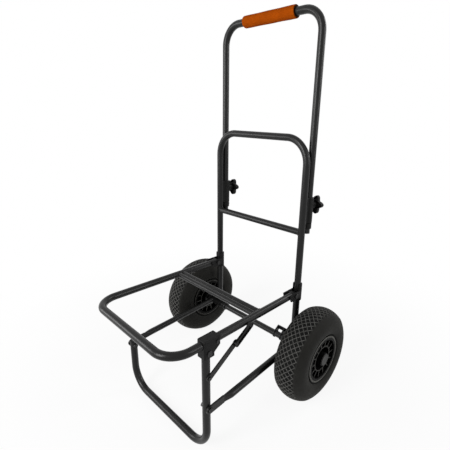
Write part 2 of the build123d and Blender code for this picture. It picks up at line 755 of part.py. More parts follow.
with BuildPart() as axle_washers:
    for side, hand in hands:
        extrude(disc_along_x(side * washer_x, 0, 0, washer_d), amount=side * washer_height)
        extrude(disc_along_x(side * washer_x, 0, 0, rod_d + 2 * weld_gap), amount=side * washer_height,
                mode=Mode.SUBTRACT)
axle_washers.part.label = "axle_washers"
export_step(axle_washers.part, "parts/axle_washers.step")

with BuildPart() as axle_clips:
    for side, hand in hands:
        ring_x = side * (bearing_outer + slip_gap)
        extrude(disc_along_x(ring_x, 0, 0, clip_ring_d), amount=side * clip_ring_height)
        extrude(disc_along_x(ring_x, 0, 0, rod_d + 2 * weld_gap), amount=side * clip_ring_height,
                mode=Mode.SUBTRACT)
axle_clips.part.label = "axle_clips"
export_step(axle_clips.part, "parts/axle_clips.step")

# Wheels: foam tyre on a ribbed moulded rim that runs on two bearings, with a round hub cap
for side, hand in hands:
    wheel_x = side * wheel_offset
    with BuildPart() as wheel_tyre:
        with BuildSketch(face_plane(0)):
            with BuildLine():
                bead = flange_width / 2 - flange_wall - weld_gap
                shoulder_radius = wheel_radius - tread_drop
                Line((wheel_x - bead, barrel_radius + weld_gap), (wheel_x + bead, barrel_radius + weld_gap))
                Line((wheel_x + bead, barrel_radius + weld_gap), (wheel_x + bead, flange_radius + weld_gap))
                Line((wheel_x + bead, flange_radius + weld_gap),
                     (wheel_x + flange_width / 2, flange_radius + bead_groove))
                ThreePointArc((wheel_x + flange_width / 2, flange_radius + bead_groove),
                              (wheel_x + wheel_width / 2, sidewall_radius),
                              (wheel_x + tread_shoulder, shoulder_radius))
                ThreePointArc((wheel_x + tread_shoulder, shoulder_radius), (wheel_x, wheel_radius),
                              (wheel_x - tread_shoulder, shoulder_radius))
                ThreePointArc((wheel_x - tread_shoulder, shoulder_radius),
                              (wheel_x - wheel_width / 2, sidewall_radius),
                              (wheel_x - flange_width / 2, flange_radius + bead_groove))
                Line((wheel_x - flange_width / 2, flange_radius + bead_groove),
                     (wheel_x - bead, flange_radius + weld_gap))
                Line((wheel_x - bead, flange_radius + weld_gap), (wheel_x - bead, barrel_radius + weld_gap))
            make_face()
        revolve(axis=axle_axis)
    wheel_tyre.part.label = f"wheel_tyre_{hand}"
    export_step(wheel_tyre.part, f"parts/wheel_tyre_{hand}.step")

    hub_middle = side * (hub_inner + hub_outer) / 2
    with BuildPart() as wheel_rim:
        with BuildSketch(face_plane(0)):
            with Locations((hub_middle, (hub_d + bearing_d) / 4)):
                Rectangle(hub_outer - hub_inner, (hub_d - bearing_d) / 2)
            with Locations((wheel_x, (hub_d / 2 + barrel_radius) / 2 - barrel_wall / 2)):
                Rectangle(web_wall, barrel_radius - hub_d / 2)
            with Locations((wheel_x, barrel_radius - barrel_wall / 2)):
                Rectangle(flange_width, barrel_wall)
            flange_middle = (barrel_radius - barrel_wall + flange_radius) / 2
            flange_shift = (flange_width - flange_wall) / 2
            with Locations((wheel_x - flange_shift, flange_middle), (wheel_x + flange_shift, flange_middle)):
                Rectangle(flange_wall, flange_radius - barrel_radius + barrel_wall)
            with Locations((wheel_x, ring_radius - ring_wall / 2)):
                Rectangle(web_wall + 2 * rib_depth, ring_wall)
        revolve(axis=axle_axis)
        with BuildSketch(side_plane(wheel_x)):
            with PolarLocations((ring_radius + barrel_radius - barrel_wall) / 2, rib_count):
                Rectangle(barrel_radius - ring_radius, rib_wall)
        extrude(amount=web_wall / 2 + rib_depth, both=True)
        chamfer(wheel_rim.edges().filter_by(GeomType.CIRCLE).group_by(SortBy.RADIUS)[-1], flange_wall / 4)
    wheel_rim.part.label = f"wheel_rim_{hand}"
    export_step(wheel_rim.part, f"parts/wheel_rim_{hand}.step")

    with BuildPart() as wheel_bearings:
        for start, toward in ((hub_inner, 1), (bearing_outer, -1)):
            extrude(disc_along_x(side * start, 0, 0, bearing_d - 2 * weld_gap),
                    amount=side * toward * bearing_width)
        extrude(disc_along_x(0, 0, 0, rod_d + 2 * running_gap), amount=side * hub_outer, mode=Mode.SUBTRACT)
    wheel_bearings.part.label = f"wheel_bearings_{hand}"
    export_step(wheel_bearings.part, f"parts/wheel_bearings_{hand}.step")

    with BuildPart() as wheel_hub_cap:
        cap_x = side * (hub_outer + weld_gap)
        extrude(disc_along_x(cap_x, 0, 0, cap_d), amount=side * cap_height)
        fillet(wheel_hub_cap.faces().sort_by(Axis.X)[0 if side < 0 else -1].edges(), cap_round)
        extrude(disc_along_x(cap_x, 0, 0, bearing_d - 2 * running_gap), amount=-side * cap_spigot)
    wheel_hub_cap.part.label = f"wheel_hub_cap_{hand}"
    export_step(wheel_hub_cap.part, f"parts/wheel_hub_cap_{hand}.step")

# Brace: two links from the leg to the right rail, in one line at rest, broken at the knee to fold
knee_y, knee_z = knee_point()
brace_run = hypot(brace_rail_y - leg_y, brace_rail_height - brace_leg_height)
brace_along = ((brace_rail_y - leg_y) / brace_run, (brace_rail_height - brace_leg_height) / brace_run)
with BuildPart() as brace_lower_link:
    with BuildSketch(link_plane(lower_link_x, leg_y, brace_leg_height, brace_along)):
        with Locations((lower_link_length / 2, 0)):
            SlotCenterToCenter(lower_link_length, link_width)
        with Locations((lower_link_length, 0)):
            Circle(link_eye_d / 2)
        Circle(rivet_d / 2 + running_gap, mode=Mode.SUBTRACT)
    extrude(amount=link_wall)
brace_lower_link.part.label = "brace_lower_link"
export_step(brace_lower_link.part, "parts/brace_lower_link.step")

with BuildPart() as brace_upper_link:
    with BuildSketch(link_plane(upper_link_x, knee_y, knee_z, brace_along)):
        with Locations((upper_link_length / 2, 0)):
            SlotCenterToCenter(upper_link_length, link_width)
    extrude(amount=upper_link_depth)
    with BuildSketch(link_plane(upper_link_x + link_wall, knee_y, knee_z, brace_along)):
        with Locations((upper_link_length / 2, 0)):
            SlotCenterToCenter(upper_link_length, link_width - 2 * link_lip)
    extrude(amount=upper_link_depth, mode=Mode.SUBTRACT)
    extrude(disc_along_x(frame_half, brace_rail_y, brace_rail_height, rivet_d + 2 * running_gap),
            amount=tube_d * 2, mode=Mode.SUBTRACT)
brace_upper_link.part.label = "brace_upper_link"
export_step(brace_upper_link.part, "parts/brace_upper_link.step")

with BuildPart() as brace_knee_rivet:
    extrude(disc_along_x(upper_link_x + link_wall + weld_gap, knee_y, knee_z, rivet_head_d),
            amount=rivet_head_height)
brace_knee_rivet.part.label = "brace_knee_rivet"
export_step(brace_knee_rivet.part, "parts/brace_knee_rivet.step")

with BuildPart() as brace_leg_rivet:
    extrude(disc_along_x(frame_half + tube_r - tube_wall, leg_y, brace_leg_height, rivet_d),
            amount=tube_wall + slip_gap + link_wall + slip_gap)
    extrude(disc_along_x(lower_link_x + link_wall + slip_gap, leg_y, brace_leg_height, rivet_head_d),
            amount=rivet_head_height)
brace_leg_rivet.part.label = "brace_leg_rivet"
export_step(brace_leg_rivet.part, "parts/brace_leg_rivet.step")

with BuildPart() as brace_lug:
    with BuildSketch(side_plane(frame_half + tube_r - tube_wall)):
        with Locations((brace_rail_y, (pivot_height + brace_rail_height) / 2)):
            Rectangle(lug_width, brace_rail_drop)
        with Locations((brace_rail_y, brace_rail_height)):
            Circle(lug_width / 2)
    extrude(amount=tube_wall + lug_wall)
    with BuildSketch(face_plane(brace_rail_y - lug_width)):
        with Locations((frame_half, pivot_height)):
            Circle(tube_r + weld_gap)
    extrude(amount=-2 * lug_width, mode=Mode.SUBTRACT)
    extrude(disc_along_x(frame_half, brace_rail_y, brace_rail_height, rivet_d + 2 * weld_gap),
            amount=tube_d * 2, mode=Mode.SUBTRACT)
brace_lug.part.label = "brace_lug"
export_step(brace_lug.part, "parts/brace_lug.step")

with BuildPart() as brace_lug_rivet:
    lug_face = frame_half + tube_r - tube_wall
    extrude(disc_along_x(lug_face, brace_rail_y, brace_rail_height, rivet_d),
            amount=upper_link_x + link_wall + slip_gap - lug_face)
    extrude(disc_along_x(upper_link_x + link_wall + slip_gap, brace_rail_y, brace_rail_height, rivet_head_d),
            amount=rivet_head_height)
brace_lug_rivet.part.label = "brace_lug_rivet"
export_step(brace_lug_rivet.part, "parts/brace_lug_rivet.step")
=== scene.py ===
"""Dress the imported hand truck: tyres, knobs, grip, weld beads, finishes, stage and camera."""

from __future__ import annotations

import json
import logging
import math
from dataclasses import dataclass, field
from enum import Enum

import bpy
import numpy as np
from mathutils import Matrix, Vector

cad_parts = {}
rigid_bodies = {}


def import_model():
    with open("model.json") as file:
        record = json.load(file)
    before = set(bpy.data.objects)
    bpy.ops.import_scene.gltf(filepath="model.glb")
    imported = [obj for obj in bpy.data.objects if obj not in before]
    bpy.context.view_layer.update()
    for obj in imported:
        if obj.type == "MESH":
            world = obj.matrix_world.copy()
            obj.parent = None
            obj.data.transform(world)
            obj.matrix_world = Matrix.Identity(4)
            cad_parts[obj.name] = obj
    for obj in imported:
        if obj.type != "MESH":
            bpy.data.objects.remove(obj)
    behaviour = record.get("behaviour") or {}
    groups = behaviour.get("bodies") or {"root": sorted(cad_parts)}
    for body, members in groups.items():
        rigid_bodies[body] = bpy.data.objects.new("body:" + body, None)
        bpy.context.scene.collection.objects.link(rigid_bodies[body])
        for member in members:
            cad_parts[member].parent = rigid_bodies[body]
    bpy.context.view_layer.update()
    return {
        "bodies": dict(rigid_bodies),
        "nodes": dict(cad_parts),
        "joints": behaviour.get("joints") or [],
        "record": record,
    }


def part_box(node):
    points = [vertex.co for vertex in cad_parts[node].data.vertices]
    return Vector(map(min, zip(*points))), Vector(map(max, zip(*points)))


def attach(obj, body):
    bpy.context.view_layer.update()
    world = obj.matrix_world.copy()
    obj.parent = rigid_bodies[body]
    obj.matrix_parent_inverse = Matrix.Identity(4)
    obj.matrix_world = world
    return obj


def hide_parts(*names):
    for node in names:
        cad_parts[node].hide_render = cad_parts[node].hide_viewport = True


LOG = logging.getLogger("hand_truck")
PHOTO_PIXELS = 450
MM = 0.001
Colour = tuple[float, float, float]


class Side(Enum):
    """The two wheels and uprights of the truck, with their sign along X."""

    LEFT = -1
    RIGHT = 1

    @property
    def word(self) -> str:
        """The side's word in node names."""
        return self.name.lower()


class Coat(Enum):
    """Which finish a CAD node is dressed with."""

    TUBE = "tube"
    MOULDING = "moulding"
    FASTENER = "fastener"
    RIM = "rim"
    CAP = "cap"


class Graph:
    """The node tree of a material or a world, with short calls to add and join nodes."""

    def __init__(self, owner: bpy.types.Material | bpy.types.World, output: str) -> None:
        """Start an empty node tree.

        Args:
            owner: The material or world that holds the tree.
            output: Type name of the tree's output node.
        """
        owner.use_nodes = True
        self.tree = owner.node_tree
        self.tree.nodes.clear()
        self.output = self.add(output)

    def add(self, kind: str, **settings: object) -> bpy.types.Node:
        """Add a node.

        Args:
            kind: The node's type name.
            settings: Properties to set on the node.

        Returns:
            The new node.
        """
        node = self.tree.nodes.new(kind)
        for key, value in settings.items():
            setattr(node, key, value)
        return node

    def join(self, source: bpy.types.NodeSocket, target: bpy.types.NodeSocket) -> None:
        """Link one socket to another."""
        self.tree.links.new(source, target)

    def place(self) -> bpy.types.NodeSocket:
        """Object coordinates."""
        return self.add("ShaderNodeTexCoord").outputs["Object"]

    def carried(self, name: str) -> bpy.types.NodeSocket:
        """Factor of an attribute that the piece's mesh carries."""
        return self.add("ShaderNodeAttribute", attribute_name=name).outputs["Fac"]

    def tone(self, colour: Colour) -> bpy.types.NodeSocket:
        """One linear colour, to be mixed with others."""
        node = self.add("ShaderNodeRGB")
        node.outputs["Color"].default_value = (*colour, 1.0)
        return node.outputs["Color"]

    def noise(self, scale: float, detail: float, roughness: float = 0.55
              ) -> bpy.types.NodeSocket:
        """Noise on Object coordinates.

        Args:
            scale: Features per metre.
            detail: Octaves of finer noise.
            roughness: Weight of the finer octaves.

        Returns:
            The noise factor's socket.
        """
        texture = self.add("ShaderNodeTexNoise")
        texture.inputs["Scale"].default_value = scale
        texture.inputs["Detail"].default_value = detail
        texture.inputs["Roughness"].default_value = roughness
        self.join(self.place(), texture.inputs["Vector"])
        return texture.outputs["Fac"]

    def ramp(self, value: bpy.types.NodeSocket, stops: list[tuple[float, Colour]]
             ) -> bpy.types.NodeSocket:
        """Colour ramp driven by a value.

        Args:
            value: The driving socket.
            stops: Pairs of position and linear colour.

        Returns:
            The ramp's colour socket.
        """
        node = self.add("ShaderNodeValToRGB")
        elements = node.color_ramp.elements
        while len(elements) < len(stops):
            elements.new(1.0)
        for element, (position, colour) in zip(elements, stops):
            element.position = position
            element.color = (*colour, 1.0)
        self.join(value, node.inputs["Fac"])
        return node.outputs["Color"]

    def spread(self, value: bpy.types.NodeSocket, low: float, high: float
               ) -> bpy.types.NodeSocket:
        """Map a factor from zero and one to a range.

        Args:
            value: The driving socket.
            low: Result at zero.
            high: Result at one.

        Returns:
            The mapped value's socket.
        """
        node = self.add("ShaderNodeMapRange")
        node.inputs["To Min"].default_value = low
        node.inputs["To Max"].default_value = high
        self.join(value, node.inputs["Value"])
        return node.outputs["Result"]

    def step(self, value: bpy.types.NodeSocket, start: float, end: float) -> bpy.types.NodeSocket:
        """Smooth step of a value, from zero at the start to one at the end.

        Args:
            value: The driving socket.
            start: Value at which the step begins.
            end: Value at which it is complete.

        Returns:
            The step's socket.
        """
        node = self.add("ShaderNodeMapRange", interpolation_type="SMOOTHSTEP")
        node.inputs["From Min"].default_value = start
        node.inputs["From Max"].default_value = end
        self.join(value, node.inputs["Value"])
        return node.outputs["Result"]

    def past(self, value: bpy.types.NodeSocket, start: float, blur: float
             ) -> bpy.types.NodeSocket:
        """Smooth step that is complete a little past its start.

        Args:
            value: The driving socket.
            start: Value at which the step begins.
            blur: How far past the start it is complete.

        Returns:
            The step's socket.
        """
        return self.step(value, start, start + blur)

    def reckon(self, operation: str, value: bpy.types.NodeSocket,
               other: float | bpy.types.NodeSocket = 0.0) -> bpy.types.NodeSocket:
        """One step of arithmetic.

        Args:
            operation: The math node's operation.
            value: First operand.
            other: Second operand, a number or a socket.

        Returns:
            The result's socket.
        """
        node = self.add("ShaderNodeMath", operation=operation)
        self.join(value, node.inputs[0])
        if isinstance(other, float):
            node.inputs[1].default_value = other
        else:
            self.join(other, node.inputs[1])
        return node.outputs["Value"]

    def seen(self) -> bpy.types.NodeSocket:
        """One for camera, glossy and transmission rays, and zero for the rays that only light."""
        path = self.add("ShaderNodeLightPath")
        camera, glossy = path.outputs["Is Camera Ray"], path.outputs["Is Glossy Ray"]
        direct = self.reckon("MAXIMUM", camera, glossy)
        return self.reckon("MAXIMUM", direct, path.outputs["Is Transmission Ray"])

    def blend(self, factor: bpy.types.NodeSocket, first: bpy.types.NodeSocket,
              second: bpy.types.NodeSocket) -> bpy.types.NodeSocket:
        """Mix two colours by a factor.

        Args:
            factor: Share of the second colour.
            first: Colour socket at zero.
            second: Colour socket at one.

        Returns:
            The mixed colour's socket.
        """
        node = self.add("ShaderNodeMix", data_type="RGBA")
        self.join(factor, node.inputs["Factor"])
        self.join(first, node.inputs["A"])
        self.join(second, node.inputs["B"])
        return node.outputs["Result"]

    def bump(self, height: bpy.types.NodeSocket, depth: float, strength: float = 1.0,
             below: bpy.types.NodeSocket | None = None) -> bpy.types.NodeSocket:
        """Bump from a height, on top of an earlier bump.

        Args:
            height: The height socket, from zero to one.
            depth: Height of one in metres.
            strength: Share of the effect.
            below: Normal of an earlier bump.

        Returns:
            The normal's socket.
        """
        node = self.add("ShaderNodeBump")
        node.inputs["Distance"].default_value = depth
        node.inputs["Strength"].default_value = strength
        self.join(height, node.inputs["Height"])
        if below is not None:
            self.join(below, node.inputs["Normal"])
        return node.outputs["Normal"]


class MaterialGraph(Graph):
    """The node tree of a new material."""

    def __init__(self, name: str) -> None:
        """Start an empty material.

        Args:
            name: The material's name.
        """
        self.material = bpy.data.materials.new(name)
        super().__init__(self.material, "ShaderNodeOutputMaterial")

    def surface(self, colour: bpy.types.NodeSocket, roughness: bpy.types.NodeSocket,
                normal: bpy.types.NodeSocket, metallic: float = 0.0, specular: float = 0.5
                ) -> bpy.types.Material:
        """Finish the tree with one Principled shader.

        Args:
            colour: Base colour socket.
            roughness: Roughness socket.
            normal: Normal socket.
            metallic: Share of metal.
            specular: Specular level of a non-metal.

        Returns:
            The finished material.
        """
        shader = self.add("ShaderNodeBsdfPrincipled")
        shader.inputs["Metallic"].default_value = metallic
        shader.inputs["Specular IOR Level"].default_value = specular
        self.join(colour, shader.inputs["Base Color"])
        self.join(roughness, shader.inputs["Roughness"])
        self.join(normal, shader.inputs["Normal"])
        self.join(shader.outputs["BSDF"], self.output.inputs["Surface"])
        return self.material


@dataclass(frozen=True)
class PowderCoat:
    """Satin black powder coat with a faint orange peel and a little dust."""

    dark: Colour = (0.0045, 0.0045, 0.0045)
    pale: Colour = (0.0085, 0.0085, 0.0083)
    rubbed: Colour = (0.022, 0.022, 0.0214)
    blotch_per_metre: float = 22.0
    mark_per_metre: float = 150.0
    mark_range: tuple[float, float] = (0.66, 0.8)
    peel_per_metre: float = 900.0
    peel_depth: float = 0.00005
    sheen_per_metre: float = 60.0
    rough_low: float = 0.25
    rough_high: float = 0.34
    specular: float = 0.24

    def make(self) -> bpy.types.Material:
        """Build the coat: blotchy black with fine peel and a few rubbed marks.

        Returns:
            The material.
        """
        graph = MaterialGraph("powder_coat")
        blotch = graph.noise(self.blotch_per_metre, 4.0)
        coat = graph.ramp(blotch, [(0.3, self.dark), (0.75, self.pale)])
        marks = graph.step(graph.noise(self.mark_per_metre, 6.0, 0.7), *self.mark_range)
        colour = graph.blend(marks, coat, graph.tone(self.rubbed))
        peel = graph.noise(self.peel_per_metre, 2.0)
        sheen = graph.noise(self.sheen_per_metre, 3.0)
        rough = graph.spread(sheen, self.rough_low, self.rough_high)
        normal = graph.bump(peel, self.peel_depth)
        return graph.surface(colour, rough, normal, specular=self.specular)


@dataclass(frozen=True)
class MouldedPlastic:
    """Matt moulded plastic with a fine spark-eroded grain."""

    name: str = "moulded_plastic"
    dark: Colour = (0.0042, 0.0042, 0.0042)
    pale: Colour = (0.0085, 0.0085, 0.0083)
    blotch_per_metre: float = 35.0
    grain_per_metre: float = 1600.0
    grain_depth: float = 0.00008
    sheen_per_metre: float = 90.0
    rough_low: float = 0.42
    rough_high: float = 0.58
    specular: float = 0.13

    def make(self) -> bpy.types.Material:
        """Build the plastic: blotchy with a fine grain.

        Returns:
            The material.
        """
        graph = MaterialGraph(self.name)
        blotch = graph.noise(self.blotch_per_metre, 3.0)
        colour = graph.ramp(blotch, [(0.35, self.dark), (0.7, self.pale)])
        grain = graph.noise(self.grain_per_metre, 3.0, 0.7)
        sheen = graph.noise(self.sheen_per_metre, 2.0)
        rough = graph.spread(sheen, self.rough_low, self.rough_high)
        normal = graph.bump(grain, self.grain_depth)
        return graph.surface(colour, rough, normal, specular=self.specular)


CAP_PLASTIC = MouldedPlastic("cap_plastic", (0.043, 0.043, 0.0412), (0.054, 0.054, 0.0515))
KNOB_PLASTIC = MouldedPlastic("knob_plastic", (0.0012, 0.0012, 0.0012), (0.003, 0.003, 0.0029),
                              specular=0.1)


@dataclass(frozen=True)
class BlackedSteel:
    """Blacked steel of bolts, rivets and the axle, worn to bare metal in spots."""

    dark: Colour = (0.022, 0.022, 0.0225)
    bare: Colour = (0.11, 0.11, 0.108)
    worn_per_metre: float = 260.0
    worn_depth: float = 0.00005
    sheen_per_metre: float = 420.0
    rough_low: float = 0.34
    rough_high: float = 0.5
    metallic: float = 0.85

    def make(self) -> bpy.types.Material:
        """Build the steel: dark oxide with brighter rubbed spots.

        Returns:
            The material.
        """
        graph = MaterialGraph("blacked_steel")
        worn = graph.noise(self.worn_per_metre, 5.0, 0.65)
        colour = graph.ramp(worn, [(0.48, self.dark), (0.8, self.bare)])
        sheen = graph.noise(self.sheen_per_metre, 2.0)
        rough = graph.spread(sheen, self.rough_low, self.rough_high)
        normal = graph.bump(worn, self.worn_depth)
        return graph.surface(colour, rough, normal, metallic=self.metallic)


@dataclass(frozen=True)
class RimPlastic:
    """Rim moulding: recess black with painted shade, the rubbed edges of the ribs, ring and flange
    paler.
    """

    axle_y: float
    axle_z: float
    wheel_x: float
    edge_offset: float = 36.5 * MM
    hub_radius: float = 21 * MM
    web_radius: float = 53 * MM
    lip_radius: float = 60.5 * MM
    lip_offset: float = 40.3 * MM
    # Painted shade: near-black tone of the recess, darker than the other mouldings.
    deep: Colour = (0.0011, 0.0011, 0.0011)
    edge: Colour = (0.05, 0.049, 0.0452)
    # Lip tone, partly wear and partly painted light, laid on the outboard side only.
    lip: Colour = (0.105, 0.103, 0.0945)
    offset_blur: float = 0.4 * MM
    radius_blur: float = 1 * MM
    recess_gain: float = 2.0
    worn_gain: float = 0.75
    patch_per_metre: float = 70.0
    grain_per_metre: float = 1500.0
    grain_depth: float = 0.00007
    sheen_per_metre: float = 120.0
    rough_low: float = 0.45
    rough_high: float = 0.62
    specular: float = 0.06

    def make(self) -> bpy.types.Material:
        """Build the plastic.

        A point is on an edge where its distance from the wheel's middle plane is past the edge
        offset, and its radius is between the hub's and the web's, or on the flange's face past the
        lip's radius. On the wheel's outboard side the lip is paler still, partly from wear and
        partly as painted light; the inboard lip is left darker as painted shade.

        Returns:
            The material.
        """
        graph = MaterialGraph("rim_plastic")
        shift = graph.add("ShaderNodeVectorMath", operation="SUBTRACT")
        shift.inputs[1].default_value = (0.0, self.axle_y, self.axle_z)
        graph.join(graph.place(), shift.inputs[0])
        flat = graph.add("ShaderNodeVectorMath", operation="MULTIPLY")
        flat.inputs[1].default_value = (0.0, 1.0, 1.0)
        graph.join(shift.outputs["Vector"], flat.inputs[0])
        length = graph.add("ShaderNodeVectorMath", operation="LENGTH")
        graph.join(flat.outputs["Vector"], length.inputs[0])
        radius = length.outputs["Value"]
        axes = graph.add("ShaderNodeSeparateXYZ")
        graph.join(graph.place(), axes.inputs["Vector"])
        sideways = graph.reckon("ABSOLUTE", axes.outputs["X"])
        across = graph.reckon("SUBTRACT", sideways, self.wheel_x)
        offset = graph.reckon("ABSOLUTE", across)
        outward = graph.past(offset, self.edge_offset, self.offset_blur)
        on_lip = graph.reckon("MULTIPLY", graph.past(radius, self.lip_radius, self.radius_blur),
                              graph.past(offset, self.lip_offset, self.offset_blur))
        on_web = graph.reckon("SUBTRACT", graph.past(radius, self.hub_radius, self.radius_blur),
                              graph.past(radius, self.web_radius, self.radius_blur))
        # Paler lip on the outboard side only: partly wear, partly painted light, with the inboard
        # lip left darker as painted shade.
        lip_wear_and_light = graph.reckon("MULTIPLY", on_lip, graph.past(across, 0.0, self.radius_blur))
        on_edge = graph.reckon("MULTIPLY", outward, graph.reckon("MAXIMUM", on_web, on_lip))
        patch = graph.noise(self.patch_per_metre, 4.0)
        shallow = tuple(self.recess_gain * c for c in self.deep)
        worn = tuple(self.worn_gain * c for c in self.edge)
        # Painted shade in the recess, varied by noise.
        recess = graph.ramp(patch, [(0.3, self.deep), (0.8, shallow)])
        edges = graph.ramp(patch, [(0.25, worn), (0.75, self.edge)])
        colour = graph.blend(on_edge, recess, graph.blend(lip_wear_and_light, edges, graph.tone(self.lip)))
        sheen = graph.noise(self.sheen_per_metre, 2.0)
        rough = graph.spread(sheen, self.rough_low, self.rough_high)
        grain = graph.noise(self.grain_per_metre, 3.0, 0.7)
        normal = graph.bump(grain, self.grain_depth)
        return graph.surface(colour, rough, normal, specular=self.specular)


@dataclass(frozen=True)
class TyreFoam:
    """Matt tyre skin: soft grey walls, painted shade in cells and groove, paler raised lines on the
    tread.
    """

    wall_dark: Colour = (0.0125, 0.0122, 0.0108)
    wall_pale: Colour = (0.0185, 0.0182, 0.0163)
    # Painted shade: near-black tone for the pressed cells and the bead groove, where shade falls.
    cell: Colour = (0.0014, 0.0014, 0.0013)
    line: Colour = (0.135, 0.133, 0.126)
    line_dull: Colour = (0.078, 0.077, 0.073)
    blotch_per_metre: float = 24.0
    rub_per_metre: float = 110.0
    pore_per_metre: float = 2200.0
    pore_depth: float = 0.0001
    sheen_per_metre: float = 80.0
    rough_low: float = 0.6
    rough_high: float = 0.76
    specular: float = 0.1

    def make(self) -> bpy.types.Material:
        """Build the skin: blotchy walls, painted shade in cells and groove, then raised lines
        rubbed pale.

        Returns:
            The material.
        """
        graph = MaterialGraph("tyre_foam")
        blotch = graph.noise(self.blotch_per_metre, 4.0)
        wall = graph.ramp(blotch, [(0.3, self.wall_dark), (0.75, self.wall_pale)])
        # Painted shade: the cells between raised lines and the groove by the rim go near black.
        pressed = graph.blend(graph.carried("pressed_in"), wall, graph.tone(self.cell))
        rub = graph.noise(self.rub_per_metre, 3.0)
        rubbed = graph.ramp(rub, [(0.32, self.line_dull), (0.62, self.line)])
        colour = graph.blend(graph.carried("raised_line"), pressed, rubbed)
        sheen = graph.noise(self.sheen_per_metre, 3.0)
        rough = graph.spread(sheen, self.rough_low, self.rough_high)
        normal = graph.bump(graph.noise(self.pore_per_metre, 3.0, 0.7), self.pore_depth)
        return graph.surface(colour, rough, normal, specular=self.specular)


@dataclass(frozen=True)
class GripFoam:
    """Orange closed-cell foam, fine pores, soft dark patches from use, brown painted shade at the
    ends.
    """

    dark: Colour = (0.29, 0.048, 0.0005)
    pale: Colour = (0.35, 0.06, 0.0008)
    # Painted shade: dark brown where shade falls on the grip's rounded ends.
    cut: Colour = (0.035, 0.011, 0.003)
    blotch_per_metre: float = 45.0
    pore_per_metre: float = 900.0
    pore_depth: float = 0.0002
    pore_share: float = 0.6
    dent_per_metre: float = 140.0
    dent_depth: float = 0.0003
    dent_share: float = 0.5
    sheen_per_metre: float = 200.0
    rough_low: float = 0.75
    rough_high: float = 0.9
    specular: float = 0.03

    def make(self) -> bpy.types.Material:
        """Build the foam: orange blotches over a porous bump, with brown painted shade at the ends.

        Returns:
            The material.
        """
        graph = MaterialGraph("grip_foam")
        blotch = graph.noise(self.blotch_per_metre, 4.0)
        skin = graph.ramp(blotch, [(0.3, self.dark), (0.7, self.pale)])
        # Painted shade: the rounded ends blend to dark brown.
        colour = graph.blend(graph.carried("cut_end"), skin, graph.tone(self.cut))
        cells = graph.add("ShaderNodeTexVoronoi")
        cells.inputs["Scale"].default_value = self.pore_per_metre
        graph.join(graph.place(), cells.inputs["Vector"])
        sheen = graph.noise(self.sheen_per_metre, 2.0)
        rough = graph.spread(sheen, self.rough_low, self.rough_high)
        dents = graph.noise(self.dent_per_metre, 3.0)
        soft = graph.bump(dents, self.dent_depth, self.dent_share)
        normal = graph.bump(cells.outputs["Distance"], self.pore_depth, self.pore_share, soft)
        return graph.surface(colour, rough, normal, specular=self.specular)


def mesh_piece(name: str, points: np.ndarray, faces: np.ndarray,
               caps: tuple[np.ndarray, ...] = (), smooth: bool = True) -> bpy.types.Object:
    """Put a numpy surface into the scene as a mesh at the origin.

    Args:
        name: The piece's name.
        points: Vertices, one row each, in metres.
        faces: Quads, one row of four indices each.
        caps: Flat faces that close the surface's open ends, each as its ring of indices.
        smooth: Whether the faces are shaded smooth.

    Returns:
        The new object.
    """
    mesh = bpy.data.meshes.new(name)
    corners = np.concatenate([np.asarray(faces).ravel(), *caps]).astype(np.int32)
    sizes = np.array([4] * len(faces) + [len(cap) for cap in caps])
    mesh.vertices.add(len(points))
    mesh.vertices.foreach_set("co", np.ascontiguousarray(points, np.float32).ravel())
    mesh.loops.add(len(corners))
    mesh.loops.foreach_set("vertex_index", corners)
    mesh.polygons.add(len(sizes))
    mesh.polygons.foreach_set("loop_start", (np.cumsum(sizes) - sizes).astype(np.int32))
    mesh.polygons.foreach_set("use_smooth", np.full(len(sizes), smooth))
    mesh.update(calc_edges=True)
    piece = bpy.data.objects.new(name, mesh)
    bpy.context.scene.collection.objects.link(piece)
    return piece


def carry(piece: bpy.types.Object, name: str, values: np.ndarray) -> None:
    """Give a piece's points a named factor for its material.

    Args:
        piece: The piece.
        name: The attribute's name.
        values: One factor per point.
    """
    attribute = piece.data.attributes.new(name, "FLOAT", "POINT")
    attribute.data.foreach_set("value", np.ascontiguousarray(values, np.float32).ravel())


def ring_grid(rows: int, columns: int, closed_rows: bool) -> np.ndarray:
    """Quads of a grid whose columns close on themselves, and whose rows may close too.

    Args:
        rows: Points along the first parameter.
        columns: Points along the second parameter, which is periodic.
        closed_rows: Whether the last row joins the first.

    Returns:
        Quads as an array of four indices each.
    """
    last = rows if closed_rows else rows - 1
    i, j = np.meshgrid(np.arange(last), np.arange(columns), indexing="ij")
    i2, j2 = (i + 1) % rows, (j + 1) % columns
    row, next_row = i * columns, i2 * columns
    quads = np.stack([row + j, row + j2, next_row + j2, next_row + j], axis=-1)
    return quads.reshape(-1, 4)


def full_turn(count: int) -> np.ndarray:
    """Evenly spaced angles round a circle, from zero.

    Args:
        count: Number of angles.

    Returns:
        The angles in radians.
    """
    return np.arange(count) * (2 * np.pi / count)


def arc_points(start: tuple[float, float], through: tuple[float, float],
               end: tuple[float, float], count: int) -> np.ndarray:
    """Points on the circle through three points, from the first to the last.

    Args:
        start: First point.
        through: A point between.
        end: Last point.
        count: Number of points, both ends included.

    Returns:
        The points, one row each.
    """
    a, b, c = (np.array(p, float) for p in (start, through, end))
    rows = np.array([2 * (b - a), 2 * (c - a)])
    centre = np.linalg.solve(rows, np.array([b @ b - a @ a, c @ c - a @ a]))
    angles = np.unwrap([math.atan2(*(p - centre)[::-1]) for p in (a, b, c)])
    turn = np.linspace(angles[0], angles[2], count)
    return centre + np.linalg.norm(a - centre) * np.stack([np.cos(turn), np.sin(turn)], axis=-1)


